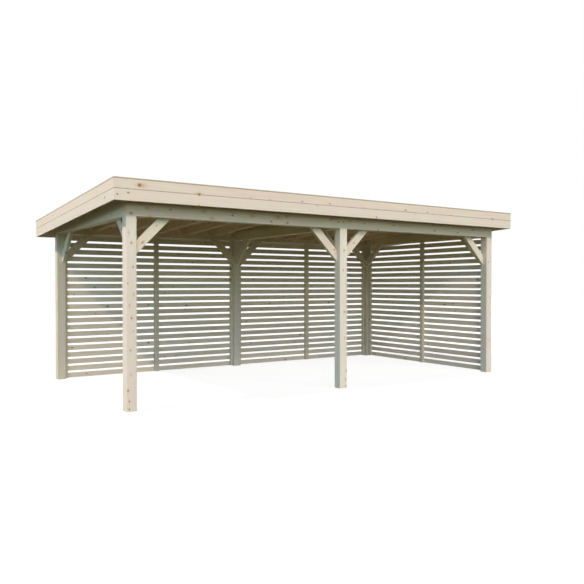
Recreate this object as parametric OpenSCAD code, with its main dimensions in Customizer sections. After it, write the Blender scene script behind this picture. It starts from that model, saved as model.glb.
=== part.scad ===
// Garden pavilion: a timber post-and-beam frame of two bays under a flat roof that falls
// to the back, with slatted screens on the back and the right side.
// Origin: centre of the roof's outline on the ground. +X runs to the right along the
// front, +Y to the back, +Z up.

/* [Frame] */
// Length over the corner posts, along the front
frame_l = 5750; // [4000:10:7000]
// Depth over the corner posts, front to back
frame_d = 2930; // [2200:10:3200]
// Side of the square posts, which is the width of the beams too
post_w = 115; // [90:1:160]
// Height from the ground to the underside of the beams
clear_h = 2055; // [1800:5:2500]
// Height of the front beam at its outer face
front_beam_h = 206; // [195:1:260]
// Height of the level beams on both sides and across the middle
side_beam_h = 132; // [110:1:160]
// Length of a level beam's tenon in the front beam
tenon_l = 40; // [20:1:70]
// Width of a tenon
tenon_w = 40; // [25:1:60]
// Shoulder above and below a tenon
tenon_shoulder = 30; // [15:1:40]
// Play round a tenon in its mortise
tenon_play = 1; // [0.5:0.5:3]
// Chamfer along the edges of the posts and beams
edge_chamfer = 3; // [1:0.5:6]

/* [Braces] */
// Length of a brace's outer edge along the post and along the beam
brace_leg = 415; // [300:5:600]
// Width of a brace across its face
brace_w = 100; // [60:1:120]
// Thickness of the braces
brace_t = 43; // [30:1:60]

/* [Slatted screens] */
// Height of a slat
slat_h = 68; // [50:1:90]
// Thickness of the slats
slat_t = 16; // [12:1:25]
// Clear gap wanted between two slats, met as nearly as a whole number of them allows
slat_gap = 30; // [15:1:60]
// Gap from the ground to the lowest slat
slat_ground = 5; // [2:1:40]
// Gap between a slat's end and the post
slat_end_gap = 2; // [1:0.5:6]
// Gap between the top slat and the beam
slat_top_gap = 22; // [5:1:40]
// Thickness of the battens behind the slats, front to back
batten_t = 45; // [20:1:60]
// Width of the battens beside the posts
end_batten_w = 40; // [30:1:60]
// Width of the batten near the middle of a screen
mid_batten_w = 68; // [45:1:95]
// Distance of that batten from the middle, to the right or to the front
mid_batten_shift = 28; // [0:1:80]

/* [Roof] */
// Fall of the roof towards the back, in millimetres a metre
roof_fall = 50; // [30:1:55]
// Overhang of the fascia in front of the posts
front_overhang = 195; // [120:5:300]
// Overhang of the fascia behind the posts
back_overhang = 275; // [120:5:400]
// Overhang of the fascia beside the posts
side_overhang = 195; // [120:5:300]
// Thickness of the rafters and of the tapered boards on the level beams
rafter_w = 45; // [35:1:60]
// Depth of the rafters, measured plumb
rafter_h = 116; // [95:1:150]
// Number of rafters in each bay
rafters_per_bay = 5; // [3:1:7]
// Thickness of the roof boards
deck_t = 18; // [15:1:28]
// Cover width of a roof board
deck_board_w = 120; // [90:1:150]
// Depth of the groove between two roof boards
deck_groove = 4; // [2:0.5:6]
// Thickness of the roofing felt
felt_t = 4; // [2:0.5:8]

/* [Fascia] */
// Thickness of the fascia boards
fascia_t = 18; // [15:1:28]
// Height of the lower fascia board
lower_fascia_h = 120; // [90:1:150]
// How far the fascia hangs below the underside of the roof boards
fascia_drop = 199; // [150:1:240]
// Height of the capping strip on the fascia
cap_h = 12; // [8:1:25]
// Width of the capping strip, from the outer face of the fascia inwards
cap_w = 40; // [25:1:60]

/* [Hidden] */

slope = roof_fall / 1000;
roof_l = frame_l + 2 * side_overhang;
roof_d = frame_d + front_overhang + back_overhang;

// Outer faces of the posts
left_x = -frame_l / 2;
right_x = frame_l / 2;
front_y = -roof_d / 2 + front_overhang;
back_y = front_y + frame_d;
// Left face of the middle posts and beam
middle_x = -post_w / 2;

// Outer faces of the fascia
roof_left = -roof_l / 2;
roof_right = roof_l / 2;
roof_front = -roof_d / 2;
roof_back = roof_d / 2;

// Height of the rafters' underside and of the roof boards' underside above a point on Y
function rafter_under(y) = clear_h + front_beam_h - slope * (y - front_y);
function deck_under(y) = rafter_under(y) + rafter_h;

// Top of the front beam at the posts' outer faces, and top of the level beams
front_beam_top = clear_h + front_beam_h;
side_beam_top = clear_h + side_beam_h;
// Inside faces of the front and back posts
inner_front = front_y + post_w;
inner_back = back_y - post_w;
// The braces stand flush with the inner faces of the posts and beams
brace_set = post_w - brace_t;

// Clear spans between the posts
bay_clear = (frame_l - 3 * post_w) / 2;
side_clear = frame_d - 2 * post_w;

// The slats share out the height from the ground gap to the top gap evenly
slat_rise = clear_h - slat_top_gap - slat_ground - slat_h;
slat_steps = round(slat_rise / (slat_h + slat_gap));
slat_pitch = slat_rise / slat_steps;

wood_post = [0.87, 0.83, 0.76];
wood_beam = [0.82, 0.79, 0.71];
wood_brace = [0.86, 0.81, 0.73];
wood_slat = [0.78, 0.75, 0.66];
wood_batten = [0.75, 0.71, 0.62];
wood_rafter = [0.76, 0.70, 0.56];
wood_deck = [0.80, 0.73, 0.58];
wood_fascia = [0.88, 0.83, 0.76];
wood_cap = [0.78, 0.74, 0.68];
felt_grey = [0.25, 0.26, 0.27];

// --- Building blocks -----------------------------------------------------------------

// Outline of a planed timber, one corner on the origin, with chamfered edges
module planed(w, h, c = edge_chamfer)
    polygon([[c, 0], [w - c, 0], [w, c], [w, h - c], [w - c, h], [c, h], [0, h - c], [0, c]]);

// Upright timber from z0 to z1
module upright(x, y, w, d, z0, z1)
    translate([x, y, z0])
        linear_extrude(z1 - z0)
            planed(w, d);

// Solid with its outline in the plane of Y and Z, from x along X
module along_x(x, length)
    translate([x, 0, 0])
        rotate([90, 0, 90])
            linear_extrude(length)
                children();

// Solid with its outline in the plane of X and Z, from y along Y
module along_y(y, length)
    translate([0, y + length, 0])
        rotate([90, 0, 0])
            linear_extrude(length)
                children();

// Strip between two heights that both fall with the roof, from y0 to y1
module falling_strip(y0, y1, low, high)
    polygon([
        [y0, low - slope * (y0 - front_y)],
        [y1, low - slope * (y1 - front_y)],
        [y1, high - slope * (y1 - front_y)],
        [y0, high - slope * (y0 - front_y)]
    ]);

// --- Posts ---------------------------------------------------------------------------

// The beams lie on the posts' sawn heads
module front_post(x) { upright(x, front_y, post_w, post_w, 0, clear_h); }
module back_post(x) { upright(x, inner_back, post_w, post_w, 0, clear_h); }

module front_left_post() { color(wood_post) front_post(left_x); }
module front_middle_post() { color(wood_post) front_post(middle_x); }
module front_right_post() { color(wood_post) front_post(right_x - post_w); }
module back_left_post() { color(wood_post) back_post(left_x); }
module back_middle_post() { color(wood_post) back_post(middle_x); }
module back_right_post() { color(wood_post) back_post(right_x - post_w); }

// --- Beams ---------------------------------------------------------------------------

// Beam over all three posts from y: chamfered below, its top planed to the roof's fall
module long_beam(y)
    along_x(left_x, frame_l)
        polygon([
            [y, clear_h + edge_chamfer],
            [y + edge_chamfer, clear_h],
            [y + post_w - edge_chamfer, clear_h],
            [y + post_w, clear_h + edge_chamfer],
            [y + post_w, rafter_under(y + post_w)],
            [y, rafter_under(y)]
        ]);

// Tenon at the front end of a level beam at x; grown by the play, it cuts the mortise
module tenon(x, play)
    translate([x + (post_w - tenon_w) / 2 - play, inner_front - tenon_l - play, clear_h + tenon_shoulder - play])
        cube([tenon_w + 2 * play, tenon_l + play, side_beam_h - 2 * tenon_shoulder + 2 * play]);

module front_beam()
    color(wood_beam)
        difference() {
            long_beam(front_y);
            for (x = [left_x, middle_x, right_x - post_w])
                tenon(x, tenon_play);
        }

module back_beam() { color(wood_beam) long_beam(inner_back); }

// Level beam at x, tenoned into the front beam and halved over the back beam
module level_beam(x) {
    tenon(x, 0);
    difference() {
        along_y(inner_front, side_clear + post_w)
            polygon([
                [x, clear_h + edge_chamfer],
                [x + edge_chamfer, clear_h],
                [x + post_w - edge_chamfer, clear_h],
                [x + post_w, clear_h + edge_chamfer],
                [x + post_w, side_beam_top],
                [x, side_beam_top]
            ]);
        along_x(x - edge_chamfer, post_w + 2 * edge_chamfer)
            polygon([
                [inner_back, 0],
                [back_y + edge_chamfer, 0],
                [back_y + edge_chamfer, rafter_under(back_y + edge_chamfer)],
                [inner_back, rafter_under(inner_back)]
            ]);
    }
}

// Board on edge on a level beam, from x, tapered to carry the roof boards
module taper_board(x)
    along_x(x, rafter_w)
        polygon([
            [inner_front, side_beam_top],
            [back_y, side_beam_top],
            [back_y, deck_under(back_y)],
            [inner_front, deck_under(inner_front)]
        ]);

module left_beam() { color(wood_beam) level_beam(left_x); }
module right_beam() { color(wood_beam) level_beam(right_x - post_w); }
module cross_beam() { color(wood_beam) level_beam(middle_x); }
module left_taper_board() { color(wood_rafter) taper_board(left_x); }
module right_taper_board() { color(wood_rafter) taper_board(right_x - rafter_w); }
module cross_taper_board() { color(wood_rafter) taper_board(middle_x + post_w - rafter_w); }

// --- Braces --------------------------------------------------------------------------

// Outline of a brace: u runs away from the post's face, and v up, to the beam at zero
brace_cut = brace_w * sqrt(2);
module brace_outline()
    polygon([[0, -brace_leg], [brace_leg, 0], [brace_leg - brace_cut, 0], [0, brace_cut - brace_leg]]);

// Brace in the plane of the front or back, leaving a post's face at x; side is 1 or -1
module brace_x(x, y, side)
    translate([x, y + brace_t, clear_h])
        rotate([90, 0, 0])
            linear_extrude(brace_t)
                scale_side(side) brace_outline();

// Brace in the plane of a side, leaving a post's face at y; side is 1 or -1
module brace_y(x, y, side)
    translate([x, y, clear_h])
        rotate([90, 0, 90])
            linear_extrude(brace_t)
                scale_side(side) brace_outline();

module scale_side(side)
    mirror([side < 0 ? 1 : 0, 0])
        children();

module front_left_braces()
    color(wood_brace) {
        brace_x(left_x + post_w, front_y + brace_set, 1);
        brace_x(middle_x, front_y + brace_set, -1);
    }

module front_right_braces()
    color(wood_brace) {
        brace_x(middle_x + post_w, front_y + brace_set, 1);
        brace_x(right_x - post_w, front_y + brace_set, -1);
    }

module back_left_braces()
    color(wood_brace) {
        brace_x(left_x + post_w, inner_back, 1);
        brace_x(middle_x, inner_back, -1);
    }

module back_right_braces()
    color(wood_brace) {
        brace_x(middle_x + post_w, inner_back, 1);
        brace_x(right_x - post_w, inner_back, -1);
    }

module side_braces(x) {
    brace_y(x, inner_front, 1);
    brace_y(x, inner_back, -1);
}

module left_side_braces() { color(wood_brace) side_braces(left_x + brace_set); }
module right_side_braces() { color(wood_brace) side_braces(right_x - post_w); }
module cross_brace() { color(wood_brace) side_braces(-brace_t / 2); }

// --- Roof ----------------------------------------------------------------------------

// Rafters stand at equal steps from one post to the next
rafter_step = (frame_l - post_w) / 2 / (rafters_per_bay + 1);

// Rafter about a middle line at x, between the front and the back fascia
module rafter(x)
    along_x(x - rafter_w / 2, rafter_w)
        falling_strip(deck_front, deck_back, front_beam_top, front_beam_top + rafter_h);

// Rafters of a bay, counted from the face of its left-hand post
module bay_rafters(post_face)
    for (i = [1 : rafters_per_bay])
        rafter(post_face + i * rafter_step);

module left_bay_rafters() { color(wood_rafter) bay_rafters(left_x + post_w); }
module right_bay_rafters() { color(wood_rafter) bay_rafters(middle_x + post_w); }

// Rafters behind the side fascias, which carry the ends of the roof boards
module edge_rafters()
    color(wood_rafter) {
        rafter(roof_left + fascia_t + rafter_w / 2);
        rafter(roof_right - fascia_t - rafter_w / 2);
    }

deck_front = roof_front + fascia_t;
deck_back = roof_back - fascia_t;
deck_boards = floor((deck_back - deck_front) / deck_board_w);

// Underside of the roof boards: a V-groove at each joint
function groove_points(i) = let (y = deck_front + i * deck_board_w) [
    [y - deck_groove, deck_under(y - deck_groove)],
    [y, deck_under(y) + deck_groove],
    [y + deck_groove, deck_under(y + deck_groove)]
];

module roof_deck()
    color(wood_deck)
        along_x(roof_left + fascia_t, roof_l - 2 * fascia_t)
            polygon(concat(
                [[deck_front, deck_under(deck_front)]],
                [for (i = [1 : deck_boards]) each groove_points(i)],
                [
                    [deck_back, deck_under(deck_back)],
                    [deck_back, deck_under(deck_back) + deck_t],
                    [deck_front, deck_under(deck_front) + deck_t]
                ]
            ));

module roof_felt()
    color(felt_grey)
        along_x(roof_left + fascia_t, roof_l - 2 * fascia_t)
            falling_strip(deck_front, deck_back, felt_low, felt_low + felt_t);

felt_low = front_beam_top + rafter_h + deck_t;

// --- Fascia --------------------------------------------------------------------------

// Heights of the fascia's joints, as measured above the front posts' outer faces; its
// upper edge ends level with the felt, under the capping strip
lower_low = front_beam_top + rafter_h - fascia_drop;
upper_low = lower_low + lower_fascia_h;
cap_low = felt_low + felt_t;
upper_fascia_h = cap_low - upper_low;

// Board along the front or the back, with its face at y on the outer side
module long_board(y, low, h)
    along_x(roof_left, roof_l)
        falling_strip(y, y + fascia_t, low, low + h);

// Board along a side, between the long boards
module side_board(x, low, h)
    along_x(x, fascia_t)
        falling_strip(deck_front, deck_back, low, low + h);

module front_lower_fascia() { color(wood_fascia) long_board(roof_front, lower_low, lower_fascia_h); }
module front_upper_fascia() { color(wood_fascia) long_board(roof_front, upper_low, upper_fascia_h); }
module back_lower_fascia() { color(wood_fascia) long_board(deck_back, lower_low, lower_fascia_h); }
module back_upper_fascia() { color(wood_fascia) long_board(deck_back, upper_low, upper_fascia_h); }
module left_lower_fascia() { color(wood_fascia) side_board(roof_left, lower_low, lower_fascia_h); }
module left_upper_fascia() { color(wood_fascia) side_board(roof_left, upper_low, upper_fascia_h); }
module right_lower_fascia() { color(wood_fascia) side_board(roof_right - fascia_t, lower_low, lower_fascia_h); }
module right_upper_fascia() { color(wood_fascia) side_board(roof_right - fascia_t, upper_low, upper_fascia_h); }

// Capping strip, mitred at the corners
module cap_strip(quarter)
    intersection() {
        along_x(roof_left, roof_l)
            falling_strip(roof_front, roof_back, cap_low, cap_low + cap_h);
        linear_extrude(cap_low + cap_h + roof_d)
            polygon(quarter);
    }

cap_left = roof_left + cap_w;
cap_right = roof_right - cap_w;
cap_front = roof_front + cap_w;
cap_back = roof_back - cap_w;

module front_cap()
    color(wood_cap)
        cap_strip([[roof_left, roof_front], [roof_right, roof_front], [cap_right, cap_front], [cap_left, cap_front]]);

module back_cap()
    color(wood_cap)
        cap_strip([[roof_right, roof_back], [roof_left, roof_back], [cap_left, cap_back], [cap_right, cap_back]]);

module left_cap()
    color(wood_cap)
        cap_strip([[roof_left, roof_back], [roof_left, roof_front], [cap_left, cap_front], [cap_left, cap_back]]);

module right_cap()
    color(wood_cap)
        cap_strip([[roof_right, roof_front], [roof_right, roof_back], [cap_right, cap_back], [cap_right, cap_front]]);

// --- Slatted screens -----------------------------------------------------------------

// The slats' outer face is flush with the posts; the battens stand behind them and reach
// up to the beams
batten_in = slat_t + batten_t;

// Outline of a slat: its thickness along X, its height along Y
module slat_outline()
    planed(slat_t, slat_h, slat_t / 8);

// Slats along X between two posts, from x
module slats_x(x)
    for (i = [0 : slat_steps])
        translate([0, back_y - slat_t, slat_ground + i * slat_pitch])
            along_x(x + slat_end_gap, bay_clear - 2 * slat_end_gap)
                slat_outline();

// Place and width of the battens along a clear span between two posts
function battens(span) = [
    [0, end_batten_w],
    [(span - mid_batten_w) / 2 + mid_batten_shift, mid_batten_w],
    [span - end_batten_w, end_batten_w]
];

module battens_x(x)
    for (b = battens(bay_clear))
        upright(x + b[0], back_y - batten_in, b[1], batten_t, slat_ground, clear_h);

module back_left_slats() { color(wood_slat) slats_x(left_x + post_w); }
module back_right_slats() { color(wood_slat) slats_x(middle_x + post_w); }
module back_left_battens() { color(wood_batten) battens_x(left_x + post_w); }
module back_right_battens() { color(wood_batten) battens_x(middle_x + post_w); }

module right_side_slats()
    color(wood_slat)
        for (i = [0 : slat_steps])
            translate([right_x - slat_t, 0, slat_ground + i * slat_pitch])
                along_y(inner_front + slat_end_gap, side_clear - 2 * slat_end_gap)
                    slat_outline();

module right_side_battens()
    color(wood_batten)
        for (b = battens(side_clear))
            upright(right_x - batten_in, inner_back - b[0] - b[1], batten_t, b[1], slat_ground, clear_h);

front_left_post();
front_middle_post();
front_right_post();
back_left_post();
back_middle_post();
back_right_post();
front_beam();
back_beam();
left_beam();
right_beam();
cross_beam();
left_taper_board();
right_taper_board();
cross_taper_board();
front_left_braces();
front_right_braces();
back_left_braces();
back_right_braces();
left_side_braces();
right_side_braces();
cross_brace();
left_bay_rafters();
right_bay_rafters();
edge_rafters();
roof_deck();
roof_felt();
front_lower_fascia();
back_lower_fascia();
left_lower_fascia();
right_lower_fascia();
front_upper_fascia();
back_upper_fascia();
left_upper_fascia();
right_upper_fascia();
front_cap();
back_cap();
left_cap();
right_cap();
back_left_battens();
back_right_battens();
right_side_battens();
back_left_slats();
back_right_slats();
right_side_slats();
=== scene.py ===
"""Looks of a flat-roofed timber garden pavilion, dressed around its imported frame.

Every timber piece keeps the frame's own solid and gets a planed spruce finish with its own run of grain,
rings and knots. The roof gets its lapped felt sheets, and the screws that hold the screens' slats are added
as real heads.
"""

from __future__ import annotations

import logging
import math
from dataclasses import dataclass, replace
from enum import Enum
from functools import cache
from typing import Any

import bmesh
import bpy
import numpy as np
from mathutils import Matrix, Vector

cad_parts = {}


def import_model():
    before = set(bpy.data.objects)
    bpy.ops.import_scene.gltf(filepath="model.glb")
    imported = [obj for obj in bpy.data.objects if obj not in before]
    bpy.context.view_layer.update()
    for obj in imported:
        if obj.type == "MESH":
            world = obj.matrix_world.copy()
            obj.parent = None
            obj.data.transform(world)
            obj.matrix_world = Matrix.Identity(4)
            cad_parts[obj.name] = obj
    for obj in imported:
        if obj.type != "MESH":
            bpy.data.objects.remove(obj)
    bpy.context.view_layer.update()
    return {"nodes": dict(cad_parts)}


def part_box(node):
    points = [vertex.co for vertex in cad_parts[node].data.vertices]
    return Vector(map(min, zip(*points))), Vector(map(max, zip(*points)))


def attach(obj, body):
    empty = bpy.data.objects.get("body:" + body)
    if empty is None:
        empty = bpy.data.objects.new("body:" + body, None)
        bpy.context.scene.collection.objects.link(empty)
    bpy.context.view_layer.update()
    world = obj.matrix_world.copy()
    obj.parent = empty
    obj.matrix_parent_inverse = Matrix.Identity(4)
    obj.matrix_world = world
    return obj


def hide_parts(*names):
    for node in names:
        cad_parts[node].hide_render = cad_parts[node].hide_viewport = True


LOG = logging.getLogger("pavilion")
BODY = "root"
MM = 0.001
# The length, height and thickness of the stretch of board that one strewn knot is drawn for
KNOT_CELL = (0.21, 0.052, 0.30)
# How much a distance along the grain counts in a knot's halo, which is longer than it is wide
LONG_SHRINK = 0.45
# A knot ratio past which no knot shows
FAR_OFF = 99.0
# Points closer than this are one
SAME_POINT = 0.001 * MM
Colour = tuple[float, float, float]
Triple = tuple[float, float, float]
ZERO: Triple = (0.0, 0.0, 0.0)
# The directions of x, y and z
UNITS: tuple[Triple, ...] = ((1.0, 0.0, 0.0), (0.0, 1.0, 0.0), (0.0, 0.0, 1.0))


class Slot(Enum):
    """Two of the record's material slots: the roofing felt and the slat timber."""

    FELT = "roofing_felt"
    SLAT = "slat_timber"


class Run(Enum):
    """The way a board's length, width and thickness lie in the frame."""

    ALONG_X = ((1, 0, 0), (0, 0, 1), (0, 1, 0))
    ALONG_X_FLAT = ((1, 0, 0), (0, 1, 0), (0, 0, 1))
    ALONG_Y = ((0, 1, 0), (0, 0, 1), (1, 0, 0))
    UPRIGHT = ((0, 0, 1), (1, 0, 0), (0, 1, 0))
    BRACE_X = ((1, 0, -1), (1, 0, 1), (0, 1, 0))
    BRACE_Y = ((0, 1, -1), (0, 1, 1), (1, 0, 0))


# ---------------------------------------------------------------- shader graphs


class Graph:
    """A shader node tree while it is wired, with short calls for the sums that it needs."""

    def __init__(self, tree: bpy.types.NodeTree) -> None:
        """Keeps the tree to wire."""
        self.tree = tree

    def put(self, socket: Any, value: Any) -> None:
        """Links value to the socket if it is an output, and otherwise sets it.

        Args:
            socket: the input to feed.
            value: an output socket, a number, a vector or a colour.
        """
        if isinstance(value, bpy.types.NodeSocket):
            self.tree.links.new(value, socket)
        elif isinstance(value, tuple) and len(value) == 3 and socket.type == "RGBA":
            socket.default_value = (*value, 1.0)
        else:
            socket.default_value = value

    def node(self, kind: str, inputs: dict[Any, Any] | None = None, **settings: Any) -> bpy.types.Node:
        """Adds a node.

        Args:
            kind: its class name without the ShaderNode prefix.
            inputs: what feeds each input, by name or number.
            settings: its own properties.

        Returns:
            The new node.
        """
        made = self.tree.nodes.new(kind if kind.startswith("Node") else "ShaderNode" + kind)
        for key, value in settings.items():
            setattr(made, key, value)
        for key, value in (inputs or {}).items():
            self.put(made.inputs[key], value)
        return made

    def math(self, operation: str, *values: Any, clamp: bool = False) -> Any:
        """Returns the output of a Math node working on up to three values."""
        made = self.node("Math", dict(enumerate(values)), operation=operation, use_clamp=clamp)
        return made.outputs[0]

    def times(self, *values: Any) -> Any:
        """Returns the product of two values."""
        return self.math("MULTIPLY", *values)

    def line(self, value: Any, slope: Any, start: Any) -> Any:
        """Returns value times slope plus start."""
        return self.math("MULTIPLY_ADD", value, slope, start)

    def rest(self, value: Any, clamp: bool = False) -> Any:
        """Returns what is left of 1 without value."""
        return self.math("SUBTRACT", 1.0, value, clamp=clamp)

    def vector(self, operation: str, *values: Any, scale: Any = None) -> Any:
        """Adds a Vector Math node.

        Args:
            operation: what it does.
            values: up to three vectors that it works on.
            scale: the number that SCALE multiplies by.

        Returns:
            Its output: a number for a dot product or a length, and otherwise a vector.
        """
        made = self.node("VectorMath", dict(enumerate(values)), operation=operation)
        if scale is not None:
            self.put(made.inputs["Scale"], scale)
        return made.outputs["Value" if operation in ("DOT_PRODUCT", "LENGTH") else "Vector"]

    def fade(self, value: Any, low: Any, high: Any) -> Any:
        """Returns 0 where value is under low, 1 where it is over high, with a smooth step between."""
        inputs = {"Value": value, "From Min": low, "From Max": high}
        return self.node("MapRange", inputs, interpolation_type="SMOOTHSTEP").outputs[0]

    def blend(self, share: Any, first: Any, second: Any) -> Any:
        """Adds a Mix node for colours.

        Args:
            share: how much of the second colour shows, from 0 to 1.
            first: the colour at share 0.
            second: the colour at share 1.

        Returns:
            The mixed colour.
        """
        made = self.node("Mix", data_type="RGBA")
        for index, value in ((0, share), (6, first), (7, second)):
            self.put(made.inputs[index], value)
        return made.outputs[2]

    def noise(self, where: Any, scale: float, detail: float = 2.0, rough: float = 0.5) -> Any:
        """Returns a noise value around 0.5 at where."""
        inputs = {"Vector": where, "Scale": scale, "Detail": detail, "Roughness": rough}
        return self.node("TexNoise", inputs).outputs[0]


def open_group(name: str, inputs: dict[str, Any], outputs: dict[str, Any]) -> tuple[Graph, Any, Any]:
    """Makes an empty shader node group with its sockets, which are vectors where their value is one.

    Args:
        name: the group's name.
        inputs: what each input holds until it is fed, in order.
        outputs: a value of the kind that each output gives, in order.

    Returns:
        The graph to wire, the outputs of its input node and the inputs of its output node.
    """
    tree = bpy.data.node_groups.new(name, "ShaderNodeTree")
    for sockets, way in ((inputs, "INPUT"), (outputs, "OUTPUT")):
        for label, value in sockets.items():
            kind = "NodeSocketVector" if isinstance(value, tuple) else "NodeSocketFloat"
            made = tree.interface.new_socket(label, in_out=way, socket_type=kind)
            if way == "INPUT":
                made.default_value = value
    graph = Graph(tree)
    return graph, graph.node("NodeGroupInput").outputs, graph.node("NodeGroupOutput").inputs


@cache
def board_space() -> bpy.types.NodeTree:
    """Builds the group that gives each board of a node its own coordinates.

    The place is folded about a centre where a mask says so, so that a pair of mirrored braces shares one
    direction. The board's number is the whole part of the distance along a split axis over the pitch. A
    random vector drawn from that number moves the coordinates, so that no two boards share grain.

    Returns:
        The node group.
    """
    axes = dict(zip(("Along", "Across", "Through"), UNITS))
    places = dict.fromkeys(("Position", "Centre", "Fold", "Split"), ZERO)
    inputs = {**places, **axes, "Pitch": 1.0, "Seed": 0.0}
    graph, given, out = open_group("board space", inputs, {"Board": ZERO, "Draw": ZERO})
    moved = graph.vector("SUBTRACT", given["Position"], given["Centre"])
    steps = graph.math("DIVIDE", graph.vector("DOT_PRODUCT", moved, given["Split"]), given["Pitch"])
    number = graph.math("FLOOR", steps)
    keyed = graph.line(number, 1.37, given["Seed"])
    draw = graph.node("TexWhiteNoise", {"W": keyed}, noise_dimensions="1D").outputs["Color"]
    flipped = graph.vector("ABSOLUTE", moved)
    change = graph.vector("MULTIPLY", graph.vector("SUBTRACT", flipped, moved), given["Fold"])
    folded = graph.vector("ADD", moved, change)
    parts = [graph.vector("DOT_PRODUCT", folded, given[axis]) for axis in axes]
    local = graph.node("CombineXYZ", dict(enumerate(parts))).outputs[0]
    shift = graph.vector("MULTIPLY", draw, (23.0, 3.1, 0.0))
    graph.put(out["Board"], graph.vector("ADD", local, shift))
    graph.put(out["Draw"], draw)
    return graph.tree


@cache
def strewn_knots() -> bpy.types.NodeTree:
    """Builds the group that strews knots over a board.

    The board's space is cut into cells longer than wide. Each cell holds one point, and a knot is the disc
    round it, with a radius drawn from 0.35 to 1.3 times Size; a cell whose draw is over the share has none.
    The distance is taken back to metres, and its part through the thickness counts by Depth: 0 makes knots
    that run through the board.

    Returns:
        The node group. Round is the distance to the nearest knot over its radius, and Long the same with the
        length of the board shrunk, for the wood that a knot tints along the grain. Wobble is what makes a
        knot's outline uneven.
    """
    inputs = {"Board": ZERO, "Share": 0.5, "Size": 9.0 * MM, "Depth": 0.0}
    outputs = dict.fromkeys(("Round", "Long", "Wobble"), 0.0)
    graph, given, out = open_group("strewn knots", inputs, outputs)
    scaled = graph.vector("DIVIDE", given["Board"], KNOT_CELL)
    points = graph.node("TexVoronoi", {"Vector": scaled, "Scale": 1.0, "Randomness": 0.85})
    gap = graph.vector("MULTIPLY", graph.vector("SUBTRACT", points.outputs["Position"], scaled), KNOT_CELL)
    parts = graph.node("SeparateXYZ", {0: gap}).outputs
    deep = graph.times(parts[2], given["Depth"])
    near = graph.node("CombineXYZ", {0: parts[0], 1: parts[1], 2: deep}).outputs[0]
    draws = graph.node("SeparateColor", {0: points.outputs["Color"]}).outputs
    wobble = graph.line(graph.noise(given["Board"], 130.0), 0.5, 0.75)
    radius = graph.times(graph.line(draws[1], 0.95, 0.35), given["Size"])
    missing = graph.times(graph.math("GREATER_THAN", draws[0], given["Share"]), FAR_OFF)
    scale = graph.math("DIVIDE", wobble, radius)
    stretched = graph.vector("MULTIPLY", near, (LONG_SHRINK, 1.0, 1.0))
    for name, vector in (("Round", near), ("Long", stretched)):
        length = graph.vector("LENGTH", vector)
        graph.put(out[name], graph.line(length, scale, missing))
    graph.put(out["Wobble"], wobble)
    return graph.tree


@cache
def set_knot() -> bpy.types.NodeTree:
    """Builds the group that adds one knot at a chosen place to the knots so far.

    It takes the lesser of the ratio so far and the new knot's own: the distance in the face over the radius.

    Returns:
        The node group.
    """
    outputs = {"Round": 0.0, "Long": 0.0}
    places = dict.fromkeys(("Position", "Place", "Face", "Along"), ZERO)
    inputs = {**places, "Radius": 10.0 * MM, "Wobble": 1.0, **outputs}
    graph, given, out = open_group("set knot", inputs, outputs)
    gap = graph.vector("MULTIPLY", graph.vector("SUBTRACT", given["Position"], given["Place"]), given["Face"])
    run = graph.times(graph.vector("DOT_PRODUCT", gap, given["Along"]), LONG_SHRINK - 1.0)
    stretched = graph.vector("ADD", gap, graph.vector("SCALE", given["Along"], scale=run))
    scale = graph.math("DIVIDE", given["Wobble"], given["Radius"])
    for name, vector in (("Round", gap), ("Long", stretched)):
        ratio = graph.times(graph.vector("LENGTH", vector), scale)
        graph.put(out[name], graph.math("MINIMUM", ratio, given[name]))
    return graph.tree


@cache
def knot_look() -> bpy.types.NodeTree:
    """Builds the group that turns the knot ratios into masks.

    The face is inside a ratio of 1 and the rim a ring just under it. The halo fades from 0.7 to 2.1 of the
    long ratio, and pushes the growth rings outwards so that they flow round the knot.

    Returns:
        The node group, with the knot's face, its dark rim, the tinted wood and the push on the rings.
    """
    outputs = dict.fromkeys(("Knot", "Rim", "Halo", "Push"), 0.0)
    graph, given, out = open_group("knot look", {"Round": 0.0, "Long": 0.0, "Size": 9.0 * MM}, outputs)
    graph.put(out["Knot"], graph.rest(graph.fade(given["Round"], 0.8, 1.12)))
    off = graph.math("ABSOLUTE", graph.math("SUBTRACT", given["Round"], 0.92))
    graph.put(out["Rim"], graph.rest(graph.math("DIVIDE", off, 0.25), clamp=True))
    halo = graph.rest(graph.fade(given["Long"], 0.7, 2.1))
    graph.put(out["Halo"], halo)
    graph.put(out["Push"], graph.times(halo, given["Size"]))
    return graph.tree


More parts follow.
